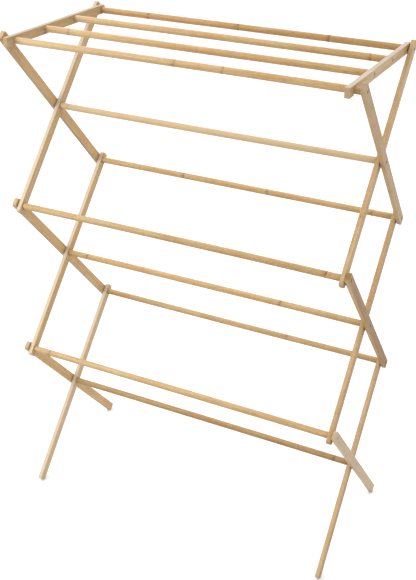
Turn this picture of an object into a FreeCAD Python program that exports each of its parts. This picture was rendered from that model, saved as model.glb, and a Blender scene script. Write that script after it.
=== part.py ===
import FreeCAD, Part
import math
import os

from FreeCAD import Vector

os.makedirs("parts", exist_ok=True)

# Folding clothes drying rack, built as a lazy-tongs frame: three crossings of
# slats on each side, joined by dowels, with a hinged shelf of four dowels on
# top. X is the width, -Y the front, +Z up. The origin is on the floor, under
# the middle of the rack's outer box. Millimetres and degrees.

# ---------------------------------------------------------------- dimensions
HALF_ARM = 233.6        # from a slat's middle pivot to its end pivot
LEAN = 41.67            # every slat's lean from vertical with the rack open
LEG = 250.0             # from the lowest crossing to the end of a foot

SLAT_T = 8.84           # slat thickness, along X
SLAT_W = 19.84          # slat width
RAIL_W = 18.84          # shelf rail width
RAIL_T = 10.0           # shelf rail thickness, along X
LAYER_GAP = 1.27        # free space between two layers of slats
X_RAIL = 337.9          # inner face of the shelf rails, from the middle plane
X_INNER = 350.11        # inner face of the inner slats

END_OUTER = 15.2        # outer slat's end, beyond its end pivot
END_INNER = 16.8        # inner slat's end, beyond its end pivot
END_R = 5.0             # corner radius of the slats' rounded ends
EASE = 1.0              # rounding of every long edge
FOOT_R = 2.2            # upper corner of a foot
FOOT_EASE = 1.4         # corners beside a foot's flat
FOOT_CUT = 2.4          # height of the corner taken off under a foot

RAIL_FRONT = 28.0       # rail's front end, beyond the front dowel's axis
RAIL_BACK = 12.0        # rail's back end, beyond the hinge dowel's axis
RAIL_UP = 1.25          # rail's centre line above the dowels' axes
RAIL_FRONT_R = 1.6      # corner radius of the rail's front end
RAIL_BACK_R = 5.0       # corner radius of the rail's back end
HOOK_GAP = 0.35         # clearance of the rail's hook round the front dowel
HOOK_FLARE = 15.0       # lean of the hook's rear wall
SHELF_Y = (-53.85, 51.5)   # the shelf's two middle dowels, from the crossings
SHELF_UP = 2.1          # and above the hinge's axis

ROD_D = 13.5            # dowel diameter
TENON_D = 9.5           # turned-down ends of the dowels
PIVOT_CLEAR = 0.05      # radial clearance of a tenon in a slat that turns on it
GLUE_CLEAR = 0.01       # radial clearance of a tenon that is glued in
SOCKET = 5.5            # depth of the blind holes that hold the tenons
SOCKET_SPARE = 0.25     # space left at the bottom of a blind hole
SHOULDER_GAP = 0.3      # from a dowel's shoulder to the slat that turns on it
ROD_CHAMFER = 0.6
TENON_CHAMFER = 0.5

NAIL_D = 1.6            # T-headed nail, driven into the dowel's end
NAIL_LENGTH = 20.0
NAIL_HEAD = (4.8, 2.0, 0.9)   # length, width and thickness of the head
NAIL_SET = 0.45         # head's depth below the surface

# --------------------------------------------------------------- layout
SIN = math.sin(math.radians(LEAN))
COS = math.cos(math.radians(LEAN))
STEP_Y = HALF_ARM * SIN
STEP_Z = HALF_ARM * COS

Y_FRONT = -STEP_Y - RAIL_FRONT
Y_BACK = (LEG - FOOT_R) * SIN + (SLAT_W / 2 - FOOT_R) * COS + FOOT_R
Y_MID = -(Y_FRONT + Y_BACK) / 2          # the crossings' plane

Z_LOW = LEG * COS + SLAT_W / 2 * SIN - FOOT_CUT   # lowest crossing
Z_TOP = Z_LOW + 5 * STEP_Z

X_OUTER = X_INNER + SLAT_T + LAYER_GAP   # outer slats' inner face


def level(i):
    """Height of pivot level i, counted down from the top."""
    return Z_TOP - i * STEP_Z


TOP_FRONT = (Y_MID - STEP_Y, level(0))
TOP_BACK = (Y_MID + STEP_Y, level(0))
CENTRE_1 = (Y_MID, level(1))
FRONT_MID = (Y_MID - STEP_Y, level(2))
BACK_MID = (Y_MID + STEP_Y, level(2))
CENTRE_2 = (Y_MID, level(3))
FRONT_LOW = (Y_MID - STEP_Y, level(4))
BACK_LOW = (Y_MID + STEP_Y, level(4))
CENTRE_3 = (Y_MID, level(5))
SHELF_FRONT = (Y_MID + SHELF_Y[0], level(0) + SHELF_UP)
SHELF_BACK = (Y_MID + SHELF_Y[1], level(0) + SHELF_UP)


# --------------------------------------------------------------- helpers
def rounded_face(corners, x):
    """A face in the plane X = x from (y, z, corner radius) in order."""
    n = len(corners)
    ends = []
    for i in range(n):
        py, pz, r = corners[i]
        ay, az, _ = corners[i - 1]
        by, bz, _ = corners[(i + 1) % n]
        p = Vector(x, py, pz)
        a = (Vector(x, ay, az) - p).normalize()
        b = (Vector(x, by, bz) - p).normalize()
        half = a.getAngle(b) / 2
        reach = r / math.tan(half)
        middle = (a + b).normalize()
        centre = p + middle * (r / math.sin(half))
        ends.append((p + a * reach, centre - middle * r, p + b * reach))
    edges = []
    for i in range(n):
        start, mid, stop = ends[i]
        edges.append(Part.Arc(start, mid, stop).toShape())
        following = ends[(i + 1) % n][0]
        if stop.distanceToPoint(following) > 1e-6:
            edges.append(Part.LineSegment(stop, following).toShape())
    return Part.Face(Part.Wire(edges))


def eased_bar(corners, x0, x1):
    """A flat bar between X = x0 and X = x1, its outline's edges rounded."""
    bar = rounded_face(corners, x0).extrude(Vector(x1 - x0, 0, 0))
    rim = [
        e
        for e in bar.Edges
        if all(abs(v.X - x0) < 1e-6 for v in e.Vertexes)
        or all(abs(v.X - x1) < 1e-6 for v in e.Vertexes)
    ]
    return bar.makeFillet(EASE, rim)


def across(radius, x0, x1, at):
    """A cylinder along X through the point at = (y, z)."""
    low, high = min(x0, x1), max(x0, x1)
    return Part.makeCylinder(radius, high - low, Vector(low, at[0], at[1]), Vector(1, 0, 0))


def slat_corners(pivot, direction, start, stop, w, foot):
    """Outline of a slat. Lengths run from the pivot along the direction."""
    dy, dz = direction
    # across the slat, upwards
    ny, nz = -dz, dy
    if nz < 0:
        ny, nz = -ny, -nz

    def at(u, v):
        return (pivot[0] + u * dy + v * ny, pivot[1] + u * dz + v * nz)

    h = w / 2
    if not foot:
        return [at(start, -h) + (END_R,), at(stop, -h) + (END_R,), at(stop, h) + (END_R,), at(start, h) + (END_R,)]
    along = FOOT_CUT / COS
    over = FOOT_CUT / SIN
    return [
        at(start, -h) + (END_R,),
        at(stop - along, -h) + (FOOT_EASE,),
        at(stop, -h + over) + (FOOT_EASE,),
        at(stop, h) + (FOOT_R,),
        at(start, h) + (END_R,),
    ]


DOWN_BACK = (SIN, -COS)     # outer slats run down towards the back
DOWN_FRONT = (-SIN, -COS)   # inner slats run down towards the front


def nail(side, face_x, at, direction):
    """A T-headed nail driven inwards from the face at X = side * face_x.
    Returns the nail and the recess above its head. The head lies across
    the piece that it holds."""
    dy, dz = direction
    length, width, thick = NAIL_HEAD
    outer = face_x - NAIL_SET
    angle = math.degrees(math.atan2(dz, dy))

    def block(x_low, x_high):
        b = Part.makeBox(x_high - x_low, width, length, Vector(x_low, -width / 2, -length / 2))
        b.rotate(Vector(0, 0, 0), Vector(1, 0, 0), angle)
        b.translate(Vector(0, at[0], at[1]))
        return b

    head = block(outer - thick, outer)
    tip = outer - NAIL_LENGTH
    shank = Part.makeCylinder(NAIL_D / 2, NAIL_LENGTH - thick - 2.0, Vector(tip + 2.0, at[0], at[1]), Vector(1, 0, 0))
    point = Part.makeCone(0.25, NAIL_D / 2, 2.0, Vector(tip, at[0], at[1]), Vector(1, 0, 0))
    body = head.fuse([shank, point]).removeSplitter()
    recess = block(outer - thick, face_x + 1.0)
    if side < 0:
        body = body.mirror(Vector(0, 0, 0), Vector(1, 0, 0))
        recess = recess.mirror(Vector(0, 0, 0), Vector(1, 0, 0))
    return body, recess


def solid_of(shape):
    """The shape as one clean solid."""
    solids = shape.Solids
    if len(solids) != 1:
        raise ValueError("expected one solid, found %d" % len(solids))
    s = solids[0]
    if s.Volume < 0:
        s.reverse()
    return s


def dowel(at, body_x, tenon_x, nails):
    """A dowel along X with turned-down ends, bored for its nails."""
    r, t = ROD_D / 2, TENON_D / 2
    c, k = ROD_CHAMFER, TENON_CHAMFER
    profile = [
        (-tenon_x, 0), (-tenon_x, t - k), (-tenon_x + k, t), (-body_x, t),
        (-body_x, r - c), (-body_x + c, r), (body_x - c, r), (body_x, r - c),
        (body_x, t), (tenon_x - k, t), (tenon_x, t - k), (tenon_x, 0),
    ]
    points = [Vector(x, at[0], at[1] + q) for x, q in profile]
    face = Part.Face(Part.makePolygon(points + [points[0]]))
    rod = face.revolve(Vector(0, at[0], at[1]), Vector(1, 0, 0), 360)
    for n in nails:
        rod = rod.cut(n)
    return solid_of(rod)


nodes = {}


def add(name, shape):
    nodes[name] = shape


# --------------------------------------------------------------- the pieces
SIDES = (("left", -1), ("right", 1))
sockets = {}      # slat name: blind holes as (pivot)
nails = {}        # node of nails: list of (side, nail)
drive = {}        # pivot: the nails driven into its dowel


def outer_slat(name, centre, start, stop, foot, sets, nail_node):
    """A pair of outer slats. Every dowel of theirs ends in a blind hole."""
    for side_name, s in SIDES:
        x0, x1 = s * X_OUTER, s * (X_OUTER + SLAT_T)
        bar = eased_bar(slat_corners(centre, DOWN_BACK, start, stop, SLAT_W, foot), min(x0, x1), max(x0, x1))
        for at in sets:
            bar = bar.cut(across(TENON_D / 2 + GLUE_CLEAR, x0 - s, x0 + s * SOCKET, at))
            n, recess = nail(s, X_OUTER + SLAT_T, at, DOWN_BACK)
            bar = bar.cut(recess).cut(n)
            nails.setdefault(nail_node, []).append(n)
            drive.setdefault(at, []).append(n)
        add("%s_%s" % (name, side_name), solid_of(bar))


def inner_slat(name, centre, start, stop, foot, pivots, fixed=None, nail_node=None):
    """A pair of inner slats, which turn on the dowels' tenons. The pivot
    called fixed is a blind hole, open to the inside."""
    for side_name, s in SIDES:
        x0, x1 = s * X_INNER, s * (X_INNER + SLAT_T)
        bar = eased_bar(slat_corners(centre, DOWN_FRONT, start, stop, SLAT_W, foot), min(x0, x1), max(x0, x1))
        for at in pivots:
            bar = bar.cut(across(TENON_D / 2 + PIVOT_CLEAR, x0 - s, x1 + s, at))
        if fixed:
            bar = bar.cut(across(TENON_D / 2 + GLUE_CLEAR, x0 - s, x0 + s * SOCKET, fixed))
            n, recess = nail(s, X_INNER + SLAT_T, fixed, DOWN_FRONT)
            bar = bar.cut(recess).cut(n)
            nails.setdefault(nail_node, []).append(n)
            drive.setdefault(fixed, []).append(n)
        add("%s_%s" % (name, side_name), solid_of(bar))


outer_slat("upper_outer_slat", CENTRE_1, -HALF_ARM - END_OUTER, HALF_ARM + END_OUTER, False,
           (TOP_FRONT, CENTRE_1, BACK_MID), "nails_upper_outer")
outer_slat("mid_outer_slat", CENTRE_2, -HALF_ARM - END_OUTER, HALF_ARM + END_OUTER, False,
           (FRONT_MID, CENTRE_2, BACK_LOW), "nails_mid_outer")
outer_slat("lower_outer_slat", CENTRE_3, -HALF_ARM - END_OUTER, LEG, True,
           (FRONT_LOW, CENTRE_3), "nails_lower_outer")

inner_slat("upper_inner_slat", CENTRE_1, -HALF_ARM - END_INNER, HALF_ARM + END_INNER, False,
           (CENTRE_1, FRONT_MID), TOP_BACK, "nails_upper_inner")
inner_slat("mid_inner_slat", CENTRE_2, -HALF_ARM - END_INNER, HALF_ARM + END_INNER, False,
           (BACK_MID, CENTRE_2, FRONT_LOW))
inner_slat("lower_inner_slat", CENTRE_3, -HALF_ARM - END_INNER, LEG, True,
           (BACK_LOW, CENTRE_3))

# The shelf's rails. Each turns on the hinge dowel at the back, carries the two
# middle dowels, and hooks down over the front dowel.
HOOK_R = ROD_D / 2 + HOOK_GAP
for side_name, s in SIDES:
    x0, x1 = s * X_RAIL, s * (X_RAIL + RAIL_T)
    zc = level(0) + RAIL_UP
    low, high = zc - RAIL_W / 2, zc + RAIL_W / 2
    front, back = TOP_FRONT[0] - RAIL_FRONT, TOP_BACK[0] + RAIL_BACK
    bar = eased_bar(
        [(front, low, RAIL_FRONT_R), (back, low, RAIL_BACK_R), (back, high, RAIL_BACK_R), (front, high, RAIL_FRONT_R)],
        min(x0, x1), max(x0, x1))
    # hook: a round seat with a mouth that opens downwards and backwards
    fy, fz = TOP_FRONT
    lean = math.radians(HOOK_FLARE)
    ty, tz = fy + HOOK_R * math.cos(lean), fz + HOOK_R * math.sin(lean)
    down = tz - (low - 2.0)
    mouth = [(fy - HOOK_R, fz), (ty, tz), (ty + down * math.tan(lean), tz - down), (fy - HOOK_R, low - 2.0)]
    xa = min(x0, x1) - 1
    ring = [Vector(xa, y, z) for y, z in mouth]
    wedge = Part.Face(Part.makePolygon(ring + [ring[0]])).extrude(Vector(RAIL_T + 2, 0, 0))
    bar = bar.cut(across(HOOK_R, x0 - s, x1 + s, TOP_FRONT)).cut(wedge)
    # hinge
    bar = bar.cut(across(TENON_D / 2 + PIVOT_CLEAR, x0 - s, x1 + s, TOP_BACK))
    for at in (SHELF_FRONT, SHELF_BACK):
        bar = bar.cut(across(TENON_D / 2 + GLUE_CLEAR, x0 - s, x0 + s * SOCKET, at))
        n, recess = nail(s, X_RAIL + RAIL_T, at, (1.0, 0.0))
        bar = bar.cut(recess).cut(n)
        nails.setdefault("nails_shelf", []).append(n)
        drive.setdefault(at, []).append(n)
    add("shelf_rail_%s" % side_name, solid_of(bar))

# Dowels. Those of the frame run between the inner slats, and their tenons
# pass through these into the outer slats.
FRAME_BODY = X_INNER - SHOULDER_GAP
OUTER_TENON = X_OUTER + SOCKET - SOCKET_SPARE
for name, at in (
    ("rod_upper_centre", CENTRE_1),
    ("rod_back_mid", BACK_MID),
    ("rod_front_mid", FRONT_MID),
    ("rod_mid_centre", CENTRE_2),
    ("rod_back_low", BACK_LOW),
    ("rod_front_low", FRONT_LOW),
    ("rod_lower_centre", CENTRE_3),
):
    add(name, dowel(at, FRAME_BODY, OUTER_TENON, drive[at]))

# The front dowel keeps its full size right up to the outer slats, and the
# rails' hooks sit on it.
add("rod_top_front", dowel(TOP_FRONT, X_OUTER, OUTER_TENON, drive[TOP_FRONT]))
# The hinge dowel's tenons pass through the rails into the inner slats.
add("rod_top_back", dowel(TOP_BACK, X_RAIL - SHOULDER_GAP, X_INNER + SOCKET - SOCKET_SPARE, drive[TOP_BACK]))
for name, at in (("rod_shelf_front", SHELF_FRONT), ("rod_shelf_back", SHELF_BACK)):
    add(name, dowel(at, X_RAIL, X_RAIL + SOCKET - SOCKET_SPARE, drive[at]))

for name, group in nails.items():
    add(name, Part.makeCompound([solid_of(n) for n in group]))

for name, shape in nodes.items():
    if not shape.isValid():
        print("not valid:", name)
    shape.exportStep("parts/%s.step" % name)

box = FreeCAD.BoundBox()
for shape in nodes.values():
    box.add(shape.BoundBox)
print("nodes", len(nodes), "solids", sum(len(s.Solids) for s in nodes.values()))
print("box x %.2f %.2f  y %.2f %.2f  z %.2f %.2f" % (box.XMin, box.XMax, box.YMin, box.YMax, box.ZMin, box.ZMax))
print("crossings at y %.4f, top pivots at z %.4f, lowest crossing at z %.4f" % (Y_MID, Z_TOP, Z_LOW))
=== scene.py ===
import math

import bpy
import numpy as np
from mathutils import Matrix, Vector
from mathutils.geometry import delaunay_2d_cdt


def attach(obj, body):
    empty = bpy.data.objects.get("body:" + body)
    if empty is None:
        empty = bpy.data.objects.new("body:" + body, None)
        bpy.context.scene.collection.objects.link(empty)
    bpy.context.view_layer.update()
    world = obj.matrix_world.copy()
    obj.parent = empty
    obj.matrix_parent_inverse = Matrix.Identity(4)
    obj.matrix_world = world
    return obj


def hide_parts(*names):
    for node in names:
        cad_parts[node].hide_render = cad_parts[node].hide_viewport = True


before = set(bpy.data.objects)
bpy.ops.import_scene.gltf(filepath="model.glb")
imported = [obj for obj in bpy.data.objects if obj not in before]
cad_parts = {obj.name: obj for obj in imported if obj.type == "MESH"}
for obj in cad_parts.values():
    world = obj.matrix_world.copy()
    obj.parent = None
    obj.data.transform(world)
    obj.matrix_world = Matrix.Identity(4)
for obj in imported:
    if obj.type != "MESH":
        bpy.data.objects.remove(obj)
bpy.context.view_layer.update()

# Folding bamboo clothes rack. Every slat, rail, dowel and nail is built here
# from the same dimensions as its CAD node, in millimetres, finely enough for a
# close look, and rides on the same body. Local coordinates of a flat piece are
# u along the grain, v across it and w through it, from the inner face out.

# ---------------------------------------------------------------- dimensions
HALF_ARM, LEAN, LEG = 233.6, 41.67, 250.0
SLAT_T, SLAT_W, RAIL_T, RAIL_W, LAYER_GAP, X_RAIL, X_INNER = 8.84, 19.84, 10.0, 18.84, 1.27, 337.9, 350.11
END_OUTER, END_INNER, END_R, EASE = 15.2, 16.8, 5.0, 1.0
FOOT_R, FOOT_EASE, FOOT_CUT = 2.2, 1.4, 2.4
RAIL_FRONT, RAIL_BACK, RAIL_UP, RAIL_FRONT_R, RAIL_BACK_R = 28.0, 12.0, 1.25, 1.6, 5.0
HOOK_GAP, HOOK_FLARE = 0.35, 15.0
SHELF_Y, SHELF_UP = (-53.85, 51.5), 2.1
ROD_D, TENON_D, PIVOT_CLEAR, GLUE_CLEAR = 13.5, 9.5, 0.05, 0.01
SOCKET, SOCKET_SPARE, SHOULDER_GAP = 5.5, 0.25, 0.3
ROD_CHAMFER, TENON_CHAMFER = 0.6, 0.5
NAIL_D, NAIL_LENGTH, NAIL_HEAD, NAIL_SET = 1.6, 20.0, (4.8, 2.0, 0.9), 0.45

SIN, COS = math.sin(math.radians(LEAN)), math.cos(math.radians(LEAN))
STEP_Y, STEP_Z = HALF_ARM * SIN, HALF_ARM * COS
Y_FRONT = -STEP_Y - RAIL_FRONT
Y_BACK = (LEG - FOOT_R) * SIN + (SLAT_W / 2 - FOOT_R) * COS + FOOT_R
Y_MID = -(Y_FRONT + Y_BACK) / 2
Z_LOW = LEG * COS + SLAT_W / 2 * SIN - FOOT_CUT
Z_TOP = Z_LOW + 5 * STEP_Z
X_OUTER = X_INNER + SLAT_T + LAYER_GAP
HOOK_R = ROD_D / 2 + HOOK_GAP


def pivot(side, i):
    """(y, z) of a pivot: side -1 front, 0 crossing, 1 back; level i from the top."""
    return (Y_MID + side * STEP_Y, Z_TOP - i * STEP_Z)


TOP_FRONT, TOP_BACK = pivot(-1, 0), pivot(1, 0)
CENTRE_1, CENTRE_2, CENTRE_3 = pivot(0, 1), pivot(0, 3), pivot(0, 5)
FRONT_MID, BACK_MID = pivot(-1, 2), pivot(1, 2)
FRONT_LOW, BACK_LOW = pivot(-1, 4), pivot(1, 4)
SHELF_FRONT = (Y_MID + SHELF_Y[0], Z_TOP + SHELF_UP)
SHELF_BACK = (Y_MID + SHELF_Y[1], Z_TOP + SHELF_UP)
DOWN_BACK, DOWN_FRONT = (SIN, -COS), (-SIN, -COS)

UP, DOWN = np.array([0.0, 0.0, 1.0]), np.array([0.0, 0.0, -1.0])


# ------------------------------------------------------------ mesh building
class Mesh:
    """Points in local millimetres with their grain data, and faces with a
    normal for each corner."""

    def __init__(self):
        self.points, self.ends, self.edges, self.knots, self.narrow = [], [], [], [], []
        self.faces = {3: [], 4: []}      # corners: (point numbers, normals)

    def add(self, points, ends=0.0, edges=0.0, knots=1e3, narrow=0.0):
        """Adds rows of points and returns their numbers."""
        points = np.atleast_2d(np.asarray(points, float))
        n, start = len(points), sum(len(p) for p in self.points)
        self.points.append(points)
        self.ends.append(np.broadcast_to(np.asarray(ends, float), (n,)))
        self.edges.append(np.broadcast_to(np.asarray(edges, float), (n,)))
        self.knots.append(np.broadcast_to(np.asarray(knots, float), (n, 3)))
        self.narrow.append(np.broadcast_to(np.asarray(narrow, float), (n,)))
        return np.arange(start, start + n)

    def place(self):
        """All the points so far."""
        self.points = [np.concatenate(self.points)]
        return self.points[0]

    def face(self, corners, normals):
        """Adds faces that each look the way their normals do."""
        corners = np.asarray(corners)
        normals = np.broadcast_to(np.asarray(normals, float), corners.shape + (3,))
        p = self.place()[corners]
        last = 3 if corners.shape[1] == 4 else 2
        flat = np.cross(p[:, 2] - p[:, 0], p[:, 3] - p[:, 1]) if last == 3 else np.cross(p[:, 1] - p[:, 0], p[:, 2] - p[:, 0])
        wrong = np.einsum("ij,ij->i", flat, normals.sum(axis=1)) < 0
        corners = np.where(wrong[:, None], corners[:, ::-1], corners)
        normals = np.where(wrong[:, None, None], normals[:, ::-1], normals)
        self.faces[corners.shape[1]].append((corners, normals))

    def strip(self, a, b, na, nb):
        """Quads between two closed rings of the same length."""
        a, b, na, nb = (np.asarray(x) for x in (a, b, na, nb))
        a1, b1, na1, nb1 = (np.roll(x, -1, axis=0) for x in (a, b, na, nb))
        self.face(np.stack([a, a1, b1, b], 1), np.stack([na, na1, nb1, nb], 1))


class Loop:
    """A closed line in the (u, v) plane: points, normals that point out of the
    wood, and the rounding of the edge there."""

    def __init__(self, points, normals, ease):
        self.points = np.array(points, float)
        self.normals = np.array(normals, float)
        self.ease = np.array(ease, float)

    def inset(self):
        return self.points - self.normals * self.ease[:, None]


def outline(corners, ease, spacing=9.0, arc_step=9.0):
    """A closed outline from (u, v, radius[, ease]) in order, anticlockwise."""
    n = len(corners)
    made = []
    for i in range(n):
        p = np.array(corners[i][:2], float)
        r = corners[i][2]
        a = np.array(corners[i - 1][:2], float) - p
        b = np.array(corners[(i + 1) % n][:2], float) - p
        a, b = a / np.linalg.norm(a), b / np.linalg.norm(b)
        half = math.acos(max(-1, min(1, a @ b))) / 2
        middle = (a + b) / np.linalg.norm(a + b)
        centre = p + middle * (r / math.sin(half))
        first, last = p + a * r / math.tan(half), p + b * r / math.tan(half)
        hollow = a[0] * b[1] - a[1] * b[0] > 0
        t0 = math.atan2(*(first - centre)[::-1])
        t1 = math.atan2(*(last - centre)[::-1])
        sweep = (t1 - t0 + math.pi) % (2 * math.pi) - math.pi
        steps = max(3, int(math.ceil(abs(math.degrees(sweep)) / arc_step)))
        e = corners[i][3] if len(corners[i]) > 3 else ease
        for k in range(steps + 1):
            t = t0 + sweep * k / steps
            d = np.array([math.cos(t), math.sin(t)])
            made.append((centre + d * r, -d if hollow else d, e))
    points, normals, eases = [], [], []
    m = len(made)
    for i in range(m):
        p, d, e = made[i]
        q, f, g = made[(i + 1) % m]
        if np.linalg.norm(q - p) < 1e-6:
            continue
        points.append(p)
        normals.append(d)
        eases.append(e)
        long = np.linalg.norm(q - p)
        if long > spacing * 1.4:
            k = int(round(long / spacing))
            for j in range(1, k):
                s = j / k
                points.append(p + (q - p) * s)
                normals.append(d)
                # an easing that differs at the two ends changes near the smaller
                w = min(1.0, s * long / 9.0) if e < g else 1 - min(1.0, (1 - s) * long / 9.0)
                eases.append(e + (g - e) * w)
    return Loop(points, normals, eases)


def circle(at, r, ease, n=48):
    t = np.arange(n) * 2 * math.pi / n
    d = np.stack([np.cos(t), np.sin(t)], 1)
    return Loop(np.array(at) + d * r, -d, np.full(n, ease))


def slot_loop(at, length, width, along, r, ease):
    """A rectangular hole with round corners. Its length lies along v if
    along is "v"."""
    a, b = (width / 2, length / 2) if along == "v" else (length / 2, width / 2)
    u, v = at
    o = outline([(u - a, v - b, r), (u + a, v - b, r), (u + a, v + b, r), (u - a, v + b, r)], ease, 0.6, 15)
    return Loop(o.points, -o.normals, o.ease)


def inside(points, loop):
    """Which points are inside a closed line."""
    x, y = np.asarray(points, float).T[:, :, None]
    a, b = loop, np.roll(loop, -1, axis=0)
    crossed = (a[:, 1] > y) != (b[:, 1] > y)
    rise = np.where(b[:, 1] == a[:, 1], 1.0, b[:, 1] - a[:, 1])
    at = (b[:, 0] - a[:, 0]) * (y - a[:, 1]) / rise + a[:, 0]
    return np.count_nonzero(crossed & (x < at), axis=1) % 2 == 1


def fill(mesh, rim, holes, w, normal, grid=None):
    """A flat face at height w. rim and holes are lists of point numbers."""
    loops = [np.asarray(x) for x in [rim] + list(holes)]
    ids = np.concatenate(loops)
    every = mesh.place()
    flat = every[ids][:, :2]
    edges, start = [], 0
    for loop in loops:
        n = len(loop)
        edges += [(start + i, start + (i + 1) % n) for i in range(n)]
        start += n
    around = [every[loop][:, :2] for loop in loops]

    def wood(points):
        kept = inside(points, around[0])
        for hole in around[1:]:
            kept &= ~inside(points, hole)
        return kept

    if grid is not None:
        grid = np.asarray(grid, float)
        gap = np.min(np.linalg.norm(grid[:, None] - flat[None], axis=2), axis=1)
        grid = grid[(gap > 2.2) & wood(grid)]
        ids = np.concatenate([ids, mesh.add(np.column_stack([grid, np.full(len(grid), w)]))])
        flat = np.concatenate([flat, grid])
    out = delaunay_2d_cdt([Vector(p) for p in flat.tolist()], edges, [], 0, 1e-7)
    spots, was = np.array([p[:] for p in out[0]]), np.array([o[0] for o in out[3]])
    tris = np.array([f for f in out[2] if len(f) == 3])
    tris = tris[wood(spots[tris].mean(axis=1))]
    mesh.face(ids[was[tris]], normal)


def wall(mesh, loop, stations):
    """Rings of a loop. stations are (w, angle from the flat face, which face:
    -1 the inner, 1 the outer). Returns rings and their normals."""
    rings, normals = [], []
    p, n, e = loop.points, loop.normals, loop.ease
    for w, angle, face in stations:
        s, c = math.sin(angle), math.cos(angle)
        q = p - n * (e * (1 - s))[:, None]
        d = np.column_stack([n * s, np.full(len(n), face * c)])
        rings.append(mesh.add(np.column_stack([q, w - face * e * (1 - c)]), np.abs(n[:, 0]) * s, np.where(e > 0.6, math.sin(2 * angle), 0.0), narrow=np.abs(n[:, 1]) * s ** 2))
        normals.append(d / np.linalg.norm(d, axis=1, keepdims=True))
    for k in range(len(rings) - 1):
        mesh.strip(rings[k], rings[k + 1], normals[k], normals[k + 1])
    return rings, normals


def turns(steps):
    return [math.pi / 2 * k / steps for k in range(steps + 1)]


def plate(thick, rim, grid, through=(), sockets=(), nails=(), ease_steps=4):
    """A flat bar. through: round holes right through. sockets: (loop, depth)
    from the inner face, each with a nail from the outer face at its middle."""
    mesh = Mesh()
    edge = [(0.0, a, -1) for a in turns(ease_steps)] + [(thick, a, 1) for a in turns(ease_steps)[::-1]]
    rings, _ = wall(mesh, rim, edge)
    low, high = rings[0], rings[-1]
    low_holes, high_holes = [], []
    soft = [(0.0, a, -1) for a in turns(2)]
    for loop in through:
        r, _ = wall(mesh, loop, soft + [(thick, a, 1) for a in turns(2)[::-1]])
        low_holes.append(r[0])
        high_holes.append(r[-1])
    bottoms = []
    for loop, depth in sockets:
        r, nn = wall(mesh, loop, soft)
        low_holes.append(r[0])
        floor = mesh.add(np.column_stack([loop.points, np.full(len(loop.points), depth)]))
        mesh.strip(r[-1], floor, nn[-1], nn[-1])
        bottoms.append((floor, depth))
    for (at, along), (floor, depth) in zip(nails, bottoms):
        length, width, head = NAIL_HEAD
        slot = slot_loop(at, length, width, along, 0.12, 0.1)
        r, nn = wall(mesh, slot, [(thick, 0.0, 1), (thick, math.pi / 4, 1), (thick, math.pi / 2, 1)])
        high_holes.append(r[0])
        deep = thick - NAIL_SET - head
        under = mesh.add(np.column_stack([slot.points, np.full(len(slot.points), deep)]))
        mesh.strip(r[-1], under, nn[-1], nn[-1])
        bore = circle(at, NAIL_D / 2, 0.0, 12)
        top = mesh.add(np.column_stack([bore.points, np.full(12, deep)]))
        end = mesh.add(np.column_stack([bore.points, np.full(12, depth)]))
        inward = np.column_stack([bore.normals, np.zeros(12)])
        mesh.strip(top, end, inward, inward)
        fill(mesh, under, [top], deep, UP)
        fill(mesh, floor, [end], depth, DOWN)
    fill(mesh, low, low_holes, 0.0, DOWN, grid)
    fill(mesh, high, high_holes, thick, UP, grid)
    return mesh


def smooth_step(a, b, x):
    t = np.clip((x - a) / (b - a), 0, 1)
    return t * t * (3 - 2 * t)


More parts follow.
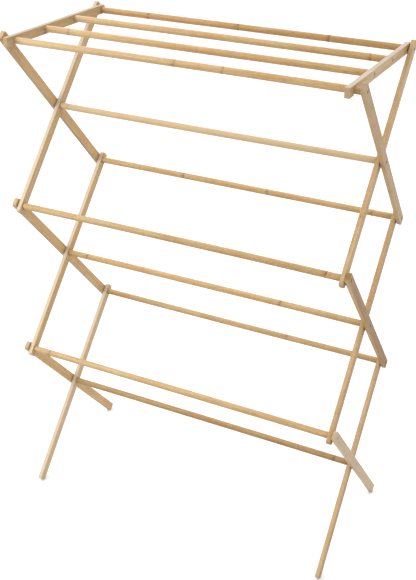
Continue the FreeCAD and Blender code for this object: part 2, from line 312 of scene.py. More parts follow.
def dowel(body_x, tenon_x, bore, knots, bow, seed, n=60):
    """A dowel about the local u axis. bore is where its nails' points and
    shanks end. knots are the places of the bamboo's joints, in u."""
    rng = np.random.default_rng(seed)
    mesh = Mesh()
    r, t, c, k = ROD_D / 2, TENON_D / 2, ROD_CHAMFER, TENON_CHAMFER
    tip, shank = bore
    half = [(tip, 0.0), (tip + 0.001, 0.25), (shank, NAIL_D / 2), (tenon_x, NAIL_D / 2), (tenon_x, t - k), (tenon_x - k, t),
            (body_x, t), (body_x, r - c), (body_x - c * 0.3, r - c * 0.3), (body_x - c, r)]
    run = body_x - c
    stations = set(np.round(np.linspace(-run, run, int(2 * run / 10) + 1), 3))
    for at in knots:
        for d in np.arange(-9, 9.01, 0.75):
            if abs(at + d) < run - 1:
                stations.add(round(at + d, 3))
    middle = [(x, r) for x in sorted(stations)]
    middle = [m for i, m in enumerate(middle) if i == 0 or m[0] - middle[i - 1][0] > 0.2]
    profile = [(-x, q) for x, q in half[:-1]] + middle + half[:-1][::-1]
    theta = np.arange(n) * 2 * math.pi / n
    round_y, round_z = np.cos(theta), np.sin(theta)
    waves = [(rng.uniform(0.004, 0.02), rng.uniform(0, 6.28), rng.integers(1, 3), rng.uniform(0.02, 0.05)) for _ in range(5)]
    slant = [(rng.uniform(0.3, 1.3), rng.uniform(0, 6.28)) for _ in knots]
    rings = []
    for x, q in profile:
        full = q > r - 1e-6
        off = np.array(bow) * (1 - (x / body_x) ** 2) if abs(x) < body_x else np.zeros(2)
        grow, where = np.zeros(n), np.full((n, 3), 1e3)
        for j, at in enumerate(knots):
            d = x - at - slant[j][0] * np.cos(theta - slant[j][1])
            where[:, j] = d
            if full:
                grow += 0.16 * np.exp(-((d / 1.5) ** 2)) - 0.13 * np.exp(-(((d - 3.0) / 1.2) ** 2)) - 0.05 * np.exp(-(((d + 3.4) / 1.6) ** 2))
        if full:
            grow += sum(w * np.sin(f * x + m * theta + p) for f, p, m, w in waves) * smooth_step(0, 25, run - abs(x))
        rad = q + grow
        rings.append(mesh.add(np.column_stack([np.full(n, x), round_y * rad + off[0], round_z * rad + off[1]]), 0.0 if full else 0.35, 0.0, where))
    slopes = []
    for (x0, q0), (x1, q1) in zip(profile, profile[1:]):
        d = np.array([x1 - x0, q1 - q0])
        d /= np.linalg.norm(d)
        slopes.append(np.array([-d[1], d[0]]))

    def turned(slope):
        return np.column_stack([np.full(n, slope[0]), round_y * slope[1], round_z * slope[1]])

    for s in range(len(profile) - 1):
        here, ends = slopes[s], []
        for other in (s - 1, s + 1):
            m = here
            if 0 <= other < len(slopes) and here @ slopes[other] > math.cos(math.radians(32)):
                m = here + slopes[other]
            ends.append(turned(m / np.linalg.norm(m)))
        na, nb = ends
        a, b = rings[s], rings[s + 1]
        a1, b1, na1, nb1 = (np.roll(v, -1, axis=0) for v in (a, b, na, nb))
        if profile[s][1] < 1e-9:
            mesh.face(np.stack([np.full(n, a[0]), b1, b], 1), np.stack([na, nb1, nb], 1))
        elif profile[s + 1][1] < 1e-9:
            mesh.face(np.stack([a, a1, np.full(n, b[0])], 1), np.stack([na, na1, nb], 1))
        else:
            mesh.strip(a, b, na, nb)
    return mesh


def nail_mesh():
    """A T-headed nail along the local w axis, its head's top at w = 0."""
    mesh = Mesh()
    length, width, head = NAIL_HEAD
    head_loop = slot_loop((0, 0), length - 0.02, width - 0.02, "v", 0.3, 0.16)
    rim = Loop(head_loop.points, -head_loop.normals, head_loop.ease)
    edge = [(-head, a, -1) for a in turns(2)] + [(0.0, a, 1) for a in turns(2)[::-1]]
    rings, _ = wall(mesh, rim, edge)
    n = 12
    t = np.arange(n) * 2 * math.pi / n
    out = np.column_stack([np.cos(t), np.sin(t), np.zeros(n)])
    rows = []
    for w, r in ((-head, NAIL_D / 2 - 0.01), (-NAIL_LENGTH + 2.0, NAIL_D / 2 - 0.01), (-NAIL_LENGTH + 0.05, 0.24)):
        rows.append(mesh.add(out * r + np.array([0, 0, w])))
    mesh.strip(rows[0], rows[1], out, out)
    mesh.strip(rows[1], rows[2], out, out)
    tip = mesh.add((0, 0, -NAIL_LENGTH + 0.02))
    mesh.face(np.stack([rows[2], np.roll(rows[2], -1), np.full(n, tip[0])], 1), DOWN)
    fill(mesh, rings[0], [rows[0]], -head, DOWN)
    fill(mesh, rings[-1], [], 0.0, UP)
    return mesh


# ------------------------------------------------------- pieces in the scene
def placed(name, parts, body, nodes, material, slot, seed, tone=1.0, warm=0.0, pale=0.0, dim=0.0, shade_falloff=(0.0, 0.0), marks=None):
    """Makes one object of (mesh, matrix) parts, where the matrix takes local
    millimetres to the frame's. pale: how much paler its narrow faces are, partly
    the cane's paler rind side and partly a painted highlight. dim: how much darker
    its narrow faces are, painted shade, and painted light where it is negative.
    fade: how much darker and warmer it is painted along u, for each metre,
    painted shade for the light falling off along the piece.
    marks: the u of a flat piece's nails and their v."""
    points, grain, ends, edges, knots, narrow, faces, normals = [], [], [], [], [], [], [], []
    start = 0
    for mesh, matrix in parts:
        a = np.array(matrix)
        local = mesh.place()
        points.append((local @ a[:3, :3].T + a[:3, 3]) * 0.001)
        grain.append(local * 0.001)
        ends.append(np.concatenate(mesh.ends))
        edges.append(np.concatenate(mesh.edges))
        knots.append(np.concatenate(mesh.knots) * 0.001)
        narrow.append(np.concatenate(mesh.narrow))
        turned = np.linalg.det(a[:3, :3]) < 0
        for size in (3, 4):
            for f, n in mesh.faces[size]:
                f, n = f + start, n @ a[:3, :3].T
                if turned:
                    f, n = f[:, ::-1], n[:, ::-1]
                faces += f.tolist()
                normals.append(n.reshape(-1, 3))
        start += len(local)
    used = np.unique(np.concatenate([np.array(f) for f in faces]))
    number = np.full(start, -1)
    number[used] = np.arange(len(used))
    data = bpy.data.meshes.new(name)
    data.from_pydata(np.concatenate(points)[used].tolist(), [], [[int(number[i]) for i in f] for f in faces])
    data.update()
    data.polygons.foreach_set("use_smooth", [True] * len(data.polygons))
    corner = np.concatenate(normals)
    corner /= np.maximum(np.linalg.norm(corner, axis=1, keepdims=True), 1e-12)
    data.normals_split_custom_set(corner.tolist())

    def put(title, kind_, values):
        made = data.attributes.new(title, kind_, "POINT")
        made.data.foreach_set("vector" if kind_ == "FLOAT_VECTOR" else "value", np.asarray(values, np.float32).ravel())

    put("grain", "FLOAT_VECTOR", np.concatenate(grain)[used])
    put("knots", "FLOAT_VECTOR", np.concatenate(knots)[used])
    if marks is not None:
        put("nail_at", "FLOAT_VECTOR", np.tile(np.array((list(marks[0]) + [1e3] * 3)[:3]) * 0.001, (len(used), 1)))
        put("nail_v", "FLOAT", np.full(len(used), marks[1] * 0.001))
    put("cut", "FLOAT", np.concatenate(ends)[used])
    put("eased", "FLOAT", np.concatenate(edges)[used])
    put("skin_and_highlight", "FLOAT", np.concatenate(narrow)[used] * pale)
    put("dim", "FLOAT", np.concatenate(narrow)[used] * dim)
    along = np.concatenate(grain)[used][:, 0]
    put("piece", "FLOAT_VECTOR", np.column_stack([np.full(len(used), seed), tone * (1 - shade_falloff[0] * along), warm + shade_falloff[1] * along]))
    data.materials.append(material)
    o = bpy.data.objects.new(name, data)
    bpy.context.scene.collection.objects.link(o)
    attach(o, body)
    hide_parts(*nodes)
    return o


def flat_matrix(side, x, at, direction):
    """Local (u, v, w) of a flat piece whose inner face is at side * x."""
    dy, dz = direction
    ny, nz = -dz, dy
    if nz < 0:
        ny, nz = -ny, -nz
    return Matrix(((0, 0, side, side * x), (dy, ny, 0, at[0]), (dz, nz, 0, at[1]), (0, 0, 0, 1)))


def reach(at, centre, direction):
    """Length along a slat from its middle to a pivot."""
    return (at[0] - centre[0]) * direction[0] + (at[1] - centre[1]) * direction[1]


def slat_loop(start, stop, foot):
    h = SLAT_W / 2
    if not foot:
        corners = [(start, -h, END_R), (stop, -h, END_R), (stop, h, END_R), (start, h, END_R)]
    else:
        along, over = FOOT_CUT / COS, FOOT_CUT / SIN
        corners = [(start, -h, END_R), (stop - along, -h, FOOT_EASE), (stop, -h + over, FOOT_EASE), (stop, h, FOOT_R), (start, h, END_R)]
    return outline(corners, EASE)


def mesh_grid(start, stop, width):
    return [(u + 4.5 * (i % 2), v) for i, v in enumerate((-width * 0.25, 0.0, width * 0.25)) for u in np.arange(start, stop, 9.0)]


# ----------------------------------------------------------------- materials
def linear(r, g, b):
    return tuple(((c / 255 + 0.055) / 1.055) ** 2.4 if c > 10 else c / 255 / 12.92 for c in (r, g, b)) + (1.0,)


class Nodes:
    """Short ways to add shader nodes."""

    def __init__(self, name):
        self.material = bpy.data.materials.new(name)
        self.material.use_nodes = True
        self.tree = self.material.node_tree
        self.tree.nodes.clear()
        self.out = self.add("ShaderNodeOutputMaterial")
        self.shader = self.add("ShaderNodeBsdfPrincipled")
        self.tree.links.new(self.shader.outputs[0], self.out.inputs["Surface"])

    def add(self, kind, **values):
        n = self.tree.nodes.new(kind)
        for k, v in values.items():
            setattr(n, k, v)
        return n

    def put(self, value, socket):
        if isinstance(value, bpy.types.NodeSocket):
            self.tree.links.new(value, socket)
        else:
            socket.default_value = value

    def math(self, op, a, b=0.0, c=0.0, clamp=False):
        n = self.add("ShaderNodeMath", operation=op, use_clamp=clamp)
        for i, v in enumerate((a, b, c)):
            self.put(v, n.inputs[i])
        return n.outputs[0]

    def attribute(self, name):
        return self.add("ShaderNodeAttribute", attribute_name=name)

    def split(self, vector):
        n = self.add("ShaderNodeSeparateXYZ")
        self.put(vector, n.inputs[0])
        return n.outputs[0], n.outputs[1], n.outputs[2]

    def join(self, x, y, z):
        n = self.add("ShaderNodeCombineXYZ")
        for i, v in enumerate((x, y, z)):
            self.put(v, n.inputs[i])
        return n.outputs[0]

    def scaled(self, vector, scale, shift=None):
        n = self.add("ShaderNodeVectorMath", operation="MULTIPLY")
        self.put(vector, n.inputs[0])
        self.put(scale, n.inputs[1])
        if shift is None:
            return n.outputs[0]
        m = self.add("ShaderNodeVectorMath", operation="ADD")
        self.put(n.outputs[0], m.inputs[0])
        self.put(shift, m.inputs[1])
        return m.outputs[0]

    def noise(self, vector, detail=2.0, rough=0.5, warp=0.0):
        n = self.add("ShaderNodeTexNoise")
        n.inputs["Scale"].default_value = 1.0
        n.inputs["Detail"].default_value = detail
        n.inputs["Roughness"].default_value = rough
        n.inputs["Distortion"].default_value = warp
        self.put(vector, n.inputs["Vector"])
        return n.outputs[0]

    def spread(self, value, a, b, low=0.0, high=1.0, soft=True):
        n = self.add("ShaderNodeMapRange", interpolation_type="SMOOTHSTEP" if soft else "LINEAR")
        for k, v in zip(("Value", "From Min", "From Max", "To Min", "To Max"), (value, a, b, low, high)):
            self.put(v, n.inputs[k])
        return n.outputs[0]

    def mix(self, factor, a, b, blend="MIX"):
        n = self.add("ShaderNodeMix", data_type="RGBA", blend_type=blend)
        self.put(factor, n.inputs["Factor"])
        self.put(a, n.inputs[6])
        self.put(b, n.inputs[7])
        return n.outputs[2]


def bamboo(name, strips, width, gloss, shade):
    """Bamboo with its fibres along the grain's first axis. strips: how many
    laminated strips lie side by side across the width, or 0 for a solid rod.
    shade: what the lacquer does to the colour of freshly sanded bamboo."""
    g = Nodes(name)
    grain = g.attribute("grain").outputs["Vector"]
    piece = g.attribute("piece").outputs["Vector"]
    seed, tone, warm = g.split(piece)
    u, v, w = g.split(grain)
    cut = g.attribute("cut").outputs["Fac"]
    eased = g.attribute("eased").outputs["Fac"]
    shift = g.join(g.math("MULTIPLY", seed, 3.17), g.math("MULTIPLY", seed, 1.31), g.math("MULTIPLY", seed, 2.23))

    # which strip, and the glue line between two strips
    if strips:
        place = g.math("DIVIDE", g.math("ADD", v, width / 2), width / strips)
        place = g.math("MINIMUM", g.math("MAXIMUM", place, 0.03), strips - 0.03)
        index = g.math("FLOOR", place)
        white = g.add("ShaderNodeTexWhiteNoise", noise_dimensions="2D")
        g.put(g.join(index, seed, 0.0), white.inputs["Vector"])
        hues = g.split(white.outputs["Color"])
        wander = g.noise(g.scaled(grain, (9.0, 0.0, 0.0), shift), 1.0)
        near = g.math("ABSOLUTE", g.math("SUBTRACT", g.math("FRACT", g.math("ADD", place, g.math("MULTIPLY", g.math("SUBTRACT", wander, 0.5), 0.03))), 0.5))
        glue = g.spread(near, 0.484, 0.4985)
        strip_shift = g.join(g.math("MULTIPLY", index, 5.3), g.math("MULTIPLY", index, 7.7), 0.0)
        add = g.add("ShaderNodeVectorMath", operation="ADD")
        g.put(shift, add.inputs[0])
        g.put(strip_shift, add.inputs[1])
        shift_here = add.outputs[0]
    else:
        shift_here = shift

    broad = g.noise(g.scaled(grain, (5.0, 110.0, 110.0), shift_here), 2.0, 0.55)
    streak = g.noise(g.scaled(grain, (10.0, 620.0, 620.0), shift_here), 3.0, 0.62, 0.15)
    fibre = g.noise(g.scaled(grain, (26.0, 2300.0, 2300.0), shift_here), 2.0, 0.6)
    dashes = g.noise(g.scaled(grain, (85.0, 4200.0, 4200.0), shift_here), 1.0, 0.5)
    cloud = g.noise(g.scaled(grain, (22.0, 22.0, 22.0), shift), 2.0, 0.6)

    colour = g.mix(g.spread(broad, 0.32, 0.68), linear(238, 212, 165), linear(224, 188, 134))
    colour = g.mix(g.math("MULTIPLY", g.spread(streak, 0.44, 0.70), 0.55), colour, linear(203, 158, 101))
    colour = g.mix(g.math("MULTIPLY", g.spread(fibre, 0.50, 0.72), 0.42), colour, linear(182, 134, 82))
    colour = g.mix(g.math("MULTIPLY", g.spread(fibre, 0.46, 0.24), 0.30), colour, linear(249, 230, 190))
    colour = g.mix(g.math("MULTIPLY", g.spread(dashes, 0.60, 0.70), 0.34), colour, linear(150, 104, 62))
    colour = g.mix(g.math("MULTIPLY", g.spread(cloud, 0.38, 0.72), 0.30), colour, linear(206, 162, 104))
    flecks = g.noise(g.scaled(grain, (150.0, 1050.0, 1050.0), shift_here), 1.0, 0.5)
    colour = g.mix(g.math("MULTIPLY", g.spread(flecks, 0.60, 0.70), 0.40), colour, linear(160, 114, 70))
    mottle = g.noise(g.scaled(grain, (210.0, 380.0, 380.0), shift_here), 2.0, 0.6)
    colour = g.mix(g.math("MULTIPLY", g.spread(mottle, 0.48, 0.70), 0.26), colour, linear(178, 134, 86))
    colour = g.mix(g.math("MULTIPLY", g.spread(mottle, 0.48, 0.28), 0.22), colour, linear(250, 232, 196))
    if strips:
        colour = g.mix(g.math("MULTIPLY", hues[0], 0.26), colour, linear(206, 164, 110))
        colour = g.mix(g.math("MULTIPLY", glue, 0.42), colour, linear(150, 108, 66))

    # the bamboo's joints
    wobble = g.math("MULTIPLY", g.math("SUBTRACT", g.noise(g.scaled(grain, (0.0, 480.0, 480.0), shift_here), 2.0), 0.5), 0.0030)
    if strips:
        run = g.math("ADD", g.math("DIVIDE", g.math("ADD", u, wobble), 0.236), g.math("ADD", hues[1], g.math("MULTIPLY", seed, 0.377)))
        knots = [g.math("MULTIPLY", g.math("SUBTRACT", g.math("FRACT", run), 0.5), 0.236)]
    else:
        knots = [g.math("ADD", k, wobble) for k in g.split(g.attribute("knots").outputs["Vector"])]
    line = halo = pale = None
    for k in knots:
        far = g.math("ABSOLUTE", k)
        a = g.spread(far, 0.0026, 0.0002)
        b = g.spread(g.math("ABSOLUTE", g.math("ADD", k, 0.0012)), 0.0100, 0.0010)
        c = g.math("MULTIPLY", g.spread(g.math("ABSOLUTE", g.math("SUBTRACT", k, 0.0034)), 0.0022, 0.0004), 1.0)
        line = a if line is None else g.math("MAXIMUM", line, a)
        halo = b if halo is None else g.math("MAXIMUM", halo, b)
        pale = c if pale is None else g.math("MAXIMUM", pale, c)
    patch = g.spread(g.noise(g.scaled(grain, (60.0, 420.0, 420.0), shift_here), 2.0, 0.6), 0.34, 0.66)
    strength = 0.35 if strips else 1.0
    colour = g.mix(g.math("MULTIPLY", g.math("MULTIPLY", halo, patch), 0.62 * strength), colour, linear(176, 120, 70))
    colour = g.mix(g.math("MULTIPLY", pale, 0.30 * strength), colour, linear(240, 214, 166))
    colour = g.mix(g.math("MULTIPLY", line, g.math("MULTIPLY_ADD", patch, 0.55 * strength, 0.12 * strength)), colour, linear(138, 88, 50))

    # cut ends are darker, with the fibres' ends as dots; eased edges are worn pale
    colour = g.mix(g.math("MULTIPLY", cut, 0.58), colour, linear(188, 168, 140))
    colour = g.mix(g.math("MULTIPLY", eased, g.math("MULTIPLY_ADD", streak, 0.5, 0.05)), colour, linear(246, 226, 186))

    # the paler narrow face of some slats: partly the cane's paler rind side, partly a painted highlight where the
    # light catches the front edges
    skin_and_highlight = g.attribute("skin_and_highlight").outputs["Fac"]
    colour = g.mix(g.math("MULTIPLY", skin_and_highlight, g.math("MULTIPLY_ADD", fibre, -0.35, 1.0), clamp=True), colour, linear(255, 247, 232))

    # darker round each nail and down into its recess, on the outer face
    if strips:
        nail_v = g.attribute("nail_v").outputs["Fac"]
        across = g.math("DIVIDE", g.math("SUBTRACT", v, nail_v), 0.0050)
        nail_darkening = None
        for at in g.split(g.attribute("nail_at").outputs["Vector"]):
            run = g.math("DIVIDE", g.math("SUBTRACT", u, at), 0.0034)
            far = g.math("SQRT", g.math("ADD", g.math("MULTIPLY", run, run), g.math("MULTIPLY", across, across)))
            ring = g.spread(g.math("ADD", far, g.math("MULTIPLY", fibre, 0.3)), 1.25, 0.65)
            nail_darkening = ring if nail_darkening is None else g.math("MAXIMUM", nail_darkening, ring)
        nail_darkening = g.math("MULTIPLY", nail_darkening, g.spread(w, 0.0066, 0.0072))
        colour = g.mix(g.math("MULTIPLY", nail_darkening, 0.85), colour, linear(98, 68, 40))

    # painted shade on the narrow faces, and painted light where dim is negative
    dim = g.math("SUBTRACT", 1.0, g.attribute("dim").outputs["Fac"])
    colour = g.mix(1.0, colour, g.join(dim, dim, dim), "MULTIPLY")

    # each piece's own tone and warmth, which also carry the painted shade along it and, on the right-hand slats,
    # painted shade for the side away from the light
    colour = g.mix(g.math("MAXIMUM", warm, 0.0, clamp=True), colour, g.mix(1.0, colour, linear(250, 220, 156), "MULTIPLY"))
    colour = g.mix(g.math("MULTIPLY", g.math("MINIMUM", warm, 0.0), -1.0, clamp=True), colour, linear(219, 199, 168))
    bright = g.join(*(g.math("MULTIPLY", tone, part) for part in shade))
    colour = g.mix(1.0, colour, bright, "MULTIPLY")

    rough = g.math("ADD", g.spread(streak, 0.3, 0.75, gloss - 0.06, gloss + 0.10), g.math("MULTIPLY", g.math("MAXIMUM", line, cut), 0.18), clamp=True)
    height = g.math("ADD", g.math("MULTIPLY", fibre, 0.45), g.math("MULTIPLY", streak, 0.55))
    height = g.math("SUBTRACT", height, g.math("MULTIPLY", g.spread(dashes, 0.60, 0.70), 0.35))
    height = g.math("SUBTRACT", height, g.math("MULTIPLY", line, 0.7))
    if strips:
        height = g.math("SUBTRACT", height, g.math("MULTIPLY", glue, 0.5))
    bump = g.add("ShaderNodeBump")
    bump.inputs["Strength"].default_value = 0.35
    bump.inputs["Distance"].default_value = 0.00016
    g.put(height, bump.inputs["Height"])

    s = g.shader
    g.put(colour, s.inputs["Base Color"])
    g.put(rough, s.inputs["Roughness"])
    g.put(bump.outputs[0], s.inputs["Normal"])
    s.inputs["IOR"].default_value = 1.5
    s.inputs["Specular IOR Level"].default_value = 0.17
    s.inputs["Coat Weight"].default_value = 0.02
    s.inputs["Coat Roughness"].default_value = 0.32
    return g.material


def steel(name):
    g = Nodes(name)
    grain = g.attribute("grain").outputs["Vector"]
    brushed = g.noise(g.scaled(grain, (900.0, 6500.0, 900.0)), 2.0, 0.6)
    stain = g.noise(g.scaled(grain, (700.0, 700.0, 700.0)), 3.0, 0.65)
    colour = g.mix(g.spread(stain, 0.42, 0.66), linear(74, 61, 47), linear(44, 33, 25))
    colour = g.mix(g.math("MULTIPLY", g.spread(brushed, 0.4, 0.7), 0.35), colour, linear(96, 84, 70))
    rough = g.spread(g.math("ADD", stain, g.math("MULTIPLY", brushed, 0.3)), 0.4, 0.9, 0.32, 0.58)
    bump = g.add("ShaderNodeBump")
    bump.inputs["Strength"].default_value = 0.3
    bump.inputs["Distance"].default_value = 0.00005
    g.put(brushed, bump.inputs["Height"])
    g.put(colour, g.shader.inputs["Base Color"])
    g.put(rough, g.shader.inputs["Roughness"])
    g.put(bump.outputs[0], g.shader.inputs["Normal"])
    g.shader.inputs["Metallic"].default_value = 0.35
    return g.material


SLAT = bamboo("slat_bamboo", 3, SLAT_W * 0.001, 0.44, (0.576, 0.555, 0.526))
RAIL = bamboo("rail_bamboo", 3, RAIL_W * 0.001, 0.40, (0.554, 0.535, 0.507))
DOWEL = bamboo("dowel_bamboo", 0, ROD_D * 0.001, 0.42, (0.481, 0.458, 0.409))
STEEL = steel("nail_steel_worn")

# ------------------------------------------------------------- flat pieces
NAIL = nail_mesh()
nails = {}    # node of nails: list of (mesh, matrix)


def add_nail(group, side, face_x, at, direction):
    m = flat_matrix(side, face_x - NAIL_SET, at, direction)
    nails.setdefault(group, []).append((NAIL, m))


# name, body, centre, foot, sockets, nails' node, (tone, warm, pale, dim) left and right; the lower tones of the
# right-hand slats are partly painted shade for the side away from the light, and pale and dim paint highlight and
# shade on their narrow faces
OUTER = (
    ("upper_outer_slat", "upper_outer", CENTRE_1, False, (TOP_FRONT, CENTRE_1, BACK_MID), "nails_upper_outer", (0.98, 0.08, 0.22, 0.46), (0.71, -0.05, 0.08, -0.12)),
    ("mid_outer_slat", "mid_outer", CENTRE_2, False, (FRONT_MID, CENTRE_2, BACK_LOW), "nails_mid_outer", (0.99, 0.10, 0.16, 0.42), (0.480, 0.92, 0.62, -0.36, (0.30, 1.0))),
    ("lower_outer_slat", "lower_outer", CENTRE_3, True, (FRONT_LOW, CENTRE_3), "nails_lower_outer", (0.965, 0.10, 0.10, 0.26), (0.80, -0.46, 0.30, -0.07)),
)
# name, body, centre, foot, pivots, blind socket, nails' node, then as above
INNER = (
    ("upper_inner_slat", "upper_inner", CENTRE_1, False, (CENTRE_1, FRONT_MID), TOP_BACK, "nails_upper_inner", (0.925, -0.05, 0.75, 0.24), (0.775, 0.0, 0.0, 0.02)),
    ("mid_inner_slat", "mid_inner", CENTRE_2, False, (BACK_MID, CENTRE_2, FRONT_LOW), None, None, (0.92, 0.05, 0.70, 0.18), (0.66, 0.26, 0.08, -0.13)),
    ("lower_inner_slat", "lower_inner", CENTRE_3, True, (BACK_LOW, CENTRE_3), None, None, (0.95, -0.55, 0.85, 0.27), (0.64, 0.36, 0.24, -0.16)),
)
SIDES = (("left", -1), ("right", 1))
seed = 1
for name, body, centre, foot, sets, group, left, right in OUTER:
    start, stop = -HALF_ARM - END_OUTER, LEG if foot else HALF_ARM + END_OUTER
    for side_name, s in SIDES:
        at = [(reach(p, centre, DOWN_BACK), 0.0) for p in sets]
        mesh = plate(SLAT_T, slat_loop(start, stop, foot), mesh_grid(start, stop, SLAT_W),
                     sockets=[(circle(p, TENON_D / 2 + GLUE_CLEAR, 0.2), SOCKET) for p in at], nails=[(p, "v") for p in at])
        for p in sets:
            add_nail(group, s, X_OUTER + SLAT_T, p, DOWN_BACK)
        placed(f"{name}_{side_name}_bamboo", [(mesh, flat_matrix(s, X_OUTER, centre, DOWN_BACK))], body, [f"{name}_{side_name}"], SLAT, "bamboo_slat", seed, *(left if s < 0 else right), marks=([p[0] for p in at], 0.0))
        seed += 1
for name, body, centre, foot, pivots, fixed, group, left, right in INNER:
    start, stop = -HALF_ARM - END_INNER, LEG if foot else HALF_ARM + END_INNER
    for side_name, s in SIDES:
        holes = [circle((reach(p, centre, DOWN_FRONT), 0.0), TENON_D / 2 + PIVOT_CLEAR, 0.2) for p in pivots]
        blind, pins = [], []
        if fixed:
            p = (reach(fixed, centre, DOWN_FRONT), 0.0)
            blind, pins = [(circle(p, TENON_D / 2 + GLUE_CLEAR, 0.2), SOCKET)], [(p, "v")]
            add_nail(group, s, X_INNER + SLAT_T, fixed, DOWN_FRONT)
        mesh = plate(SLAT_T, slat_loop(start, stop, foot), mesh_grid(start, stop, SLAT_W), through=holes, sockets=blind, nails=pins)
        placed(f"{name}_{side_name}_bamboo", [(mesh, flat_matrix(s, X_INNER, centre, DOWN_FRONT))], body, [f"{name}_{side_name}"], SLAT, "bamboo_slat", seed, *(left if s < 0 else right), marks=([p[0] for p in pins and [pins[0][0]]], 0.0))
        seed += 1

# the shelf's rails, with u towards the back and v up, from the front dowel's axis
fy, fz = 0.0, 0.0
low, high = RAIL_UP - RAIL_W / 2, RAIL_UP + RAIL_W / 2
front, back = -RAIL_FRONT, 2 * STEP_Y + RAIL_BACK
flare = math.radians(HOOK_FLARE)
ty, tz = HOOK_R * math.cos(flare), HOOK_R * math.sin(flare)
apex = HOOK_R / math.tan(flare / 2)
mouth = ty + (tz - low) * math.tan(flare)
SMALL = 0.35
rail_rim = outline([
    (front, low, RAIL_FRONT_R, EASE), (-HOOK_R, low, 0.5, SMALL), (-HOOK_R, apex, HOOK_R, SMALL), (mouth, low, 0.5, SMALL),
    (back, low, RAIL_BACK_R, EASE), (back, high, RAIL_BACK_R, EASE), (front, high, RAIL_FRONT_R, EASE)], EASE)
shelf_at = [(SHELF_FRONT[0] - TOP_FRONT[0], SHELF_FRONT[1] - TOP_FRONT[1]), (SHELF_BACK[0] - TOP_FRONT[0], SHELF_BACK[1] - TOP_FRONT[1])]
rail_grid = [(u + 4.5 * (i % 2), v) for i, v in enumerate((low + 4.5, RAIL_UP, high - 4.5)) for u in np.arange(front, back, 9.0)]
for side_name, s in SIDES:
    mesh = plate(RAIL_T, rail_rim, rail_grid, through=[circle((2 * STEP_Y, 0.0), TENON_D / 2 + PIVOT_CLEAR, 0.2)],
                 sockets=[(circle(p, TENON_D / 2 + GLUE_CLEAR, 0.2), SOCKET) for p in shelf_at], nails=[(p, "v") for p in shelf_at])
    for p in (SHELF_FRONT, SHELF_BACK):
        add_nail("nails_shelf", s, X_RAIL + RAIL_T, p, (1.0, 0.0))
    look = (0.80, 0.05, 0.50, 0.34) if s < 0 else (0.84, -0.05, 0.54, 0.32)
    placed(f"shelf_rail_{side_name}_bamboo", [(mesh, flat_matrix(s, X_RAIL, TOP_FRONT, (1.0, 0.0)))], "shelf", [f"shelf_rail_{side_name}"], RAIL, "bamboo_rail", seed, *look, marks=([p[0] for p in shelf_at], SHELF_UP))
    seed += 1

# ------------------------------------------------------------------ dowels
FRAME = (X_INNER - SHOULDER_GAP, X_OUTER + SOCKET - SOCKET_SPARE)
OUT_NAIL = X_OUTER + SLAT_T - NAIL_SET - NAIL_LENGTH
IN_NAIL = X_INNER + SLAT_T - NAIL_SET - NAIL_LENGTH
RAIL_NAIL = X_RAIL + RAIL_T - NAIL_SET - NAIL_LENGTH
# node, body, axis, (body, tenon), nail's tip, joints of the bamboo, bow (y, z), tone, warm, fade; the fade is painted
# shade, darker and warmer towards +x, away from the light
DOWELS = (
    ("rod_top_front", "upper_outer", TOP_FRONT, (X_OUTER, FRAME[1]), OUT_NAIL, (10.0, 106.0), (0.2, 0.9), 0.96, -0.12, 0.15, 0.9),
    ("rod_top_back", "upper_inner", TOP_BACK, (X_RAIL - SHOULDER_GAP, X_INNER + SOCKET - SOCKET_SPARE), IN_NAIL, (-218.5, -9.0, 188.0), (-0.3, 0.3), 0.82, 0.48, 0.33, 0.4),
    ("rod_shelf_front", "shelf", SHELF_FRONT, (X_RAIL, X_RAIL + SOCKET - SOCKET_SPARE), RAIL_NAIL, (-282.0,), (0.4, -0.3), 0.95, 0.10, 0.34, 0.9),
    ("rod_shelf_back", "shelf", SHELF_BACK, (X_RAIL, X_RAIL + SOCKET - SOCKET_SPARE), RAIL_NAIL, (306.0,), (-0.4, 0.4), 0.94, 0.10, 0.36, 0.9),
    ("rod_upper_centre", "upper_outer", CENTRE_1, FRAME, OUT_NAIL, (-330.0,), (0.3, -0.8), 1.08, -0.60, 0.0, 0.0),
    ("rod_front_mid", "mid_outer", FRONT_MID, FRAME, OUT_NAIL, (322.0,), (0.2, 1.2), 0.86, 0.05, 0.1, 0.2),
    ("rod_back_mid", "upper_outer", BACK_MID, FRAME, OUT_NAIL, (-135.5, 71.5, 307.5), (-0.5, 0.3), 0.95, 0.10, 0.1, 0.2),
    ("rod_mid_centre", "mid_outer", CENTRE_2, FRAME, OUT_NAIL, (-300.5, 175.0), (0.2, 0.6), 0.98, 0.05, 0.1, 0.1),
    ("rod_front_low", "lower_outer", FRONT_LOW, FRAME, OUT_NAIL, (-309.0,), (0.3, 0.8), 0.94, -0.05, 0.1, 0.2),
    ("rod_back_low", "mid_outer", BACK_LOW, FRAME, OUT_NAIL, (134.0,), (-0.4, -0.5), 0.89, 0.05, 0.0, 0.1),
    ("rod_lower_centre", "lower_outer", CENTRE_3, FRAME, OUT_NAIL, (318.5,), (0.2, 0.5), 0.73, 0.25, 0.1, 0.2),
)
for i, (node, body, at, (body_x, tenon_x), tip, knots, bow, tone, warm, *shade_falloff) in enumerate(DOWELS):
    mesh = dowel(body_x, tenon_x, (tip, tip + 2.0), knots, bow, 40 + i)
    m = Matrix(((1, 0, 0, 0), (0, 1, 0, at[0]), (0, 0, 1, at[1]), (0, 0, 0, 1)))
    placed(f"{node}_bamboo", [(mesh, m)], body, [node], DOWEL, "bamboo_dowel", seed, tone, warm, shade_falloff=shade_falloff)
    seed += 1

NAIL_BODY = {"nails_upper_outer": "upper_outer", "nails_mid_outer": "mid_outer", "nails_lower_outer": "lower_outer", "nails_upper_inner": "upper_inner", "nails_shelf": "shelf"}
for group, parts in nails.items():
    placed(f"{group}_steel", parts, NAIL_BODY[group], [group], STEEL, "nail_steel", seed)
    seed += 1

# ------------------------------------------------------- floor and backdrop
scene = bpy.context.scene
scene.view_settings.view_transform = "Standard"
scene.view_settings.look = "None"
SKY = (0.05, 0.75, 0.70, 2.31)    # from and to these heights, the light's strength
FLOOR = 0.62

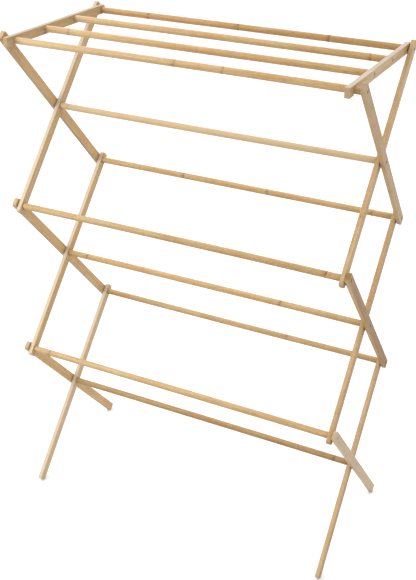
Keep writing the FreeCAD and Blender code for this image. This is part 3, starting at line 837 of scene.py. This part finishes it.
floor_data = bpy.data.meshes.new("studio_floor")
far = 40.0
floor_data.from_pydata([(-far, -far, -0.0004), (far, -far, -0.0004), (far, far, -0.0004), (-far, far, -0.0004)], [], [(0, 1, 2, 3)])
floor = bpy.data.objects.new("studio_floor", floor_data)
scene.collection.objects.link(floor)
f = Nodes("studio_white")
f.shader.inputs["Base Color"].default_value = (FLOOR, FLOOR, FLOOR, 1)
f.shader.inputs["Roughness"].default_value = 0.9
f.shader.inputs["Specular IOR Level"].default_value = 0.1
floor_data.materials.append(f.material)

world = bpy.data.worlds.new("studio")
scene.world = world
world.use_nodes = True
back_light = world.node_tree.nodes.get("Background") or world.node_tree.nodes.new("ShaderNodeBackground")
back_light.inputs["Color"].default_value = (1.0, 1.0, 1.0, 1)
# a soft sky of white paper, brightest overhead
toward = world.node_tree.nodes.new("ShaderNodeTexCoord")
height = world.node_tree.nodes.new("ShaderNodeSeparateXYZ")
rise = world.node_tree.nodes.new("ShaderNodeMapRange")
rise.interpolation_type = "SMOOTHSTEP"
for socket, value in zip(("From Min", "From Max", "To Min", "To Max"), SKY):
    rise.inputs[socket].default_value = value
world.node_tree.links.new(toward.outputs["Generated"], height.inputs[0])
world.node_tree.links.new(height.outputs[2], rise.inputs["Value"])
world.node_tree.links.new(rise.outputs[0], back_light.inputs["Strength"])


def soft_light(name, at, to, size, power, colour=(1, 1, 1)):
    data = bpy.data.lights.new(name, "AREA")
    data.shape = "RECTANGLE"
    data.size, data.size_y = size
    data.energy = power
    data.color = colour
    o = bpy.data.objects.new(name, data)
    scene.collection.objects.link(o)
    o.location = at
    o.rotation_euler = (Vector(to) - Vector(at)).to_track_quat("-Z", "Y").to_euler()
    return o


soft_light("key", (-1.05, -1.1, 1.35), (-0.25, 0, 0.66), (0.7, 1.5), 16.8, (1.0, 0.99, 0.97))
soft_light("behind", (-1.2, 2.4, 2.5), (0, 0, 0.9), (2.2, 1.6), 22.4, (0.95, 0.975, 1.0))

# ------------------------------------------------------------------- camera
AZ, EL, ROLL = -0.45848140964340217, -0.46581976616993487, 0.012439004186306977
ahead = Vector((math.sin(AZ) * math.cos(EL), math.cos(AZ) * math.cos(EL), math.sin(EL)))
right = Vector((math.cos(AZ), -math.sin(AZ), 0.0))
up = right.cross(ahead)
r2 = right * math.cos(ROLL) + up * math.sin(ROLL)
u2 = -right * math.sin(ROLL) + up * math.cos(ROLL)
cam_data = bpy.data.cameras.new("camera")
cam = bpy.data.objects.new("camera", cam_data)
scene.collection.objects.link(cam)
cam.matrix_world = Matrix((
    (r2.x, u2.x, -ahead.x, 0.831542),
    (r2.y, u2.y, -ahead.y, -1.671354),
    (r2.z, u2.z, -ahead.z, 1.530421),
    (0, 0, 0, 1)))
cam_data.sensor_width = 36.0
cam_data.lens = 981.588063 / 580 * 36.0
cam_data.shift_x = -0.12488 / 580
cam_data.shift_y = -24.96085 / 580
cam_data.clip_start, cam_data.clip_end = 0.05, 200.0
scene.camera = cam
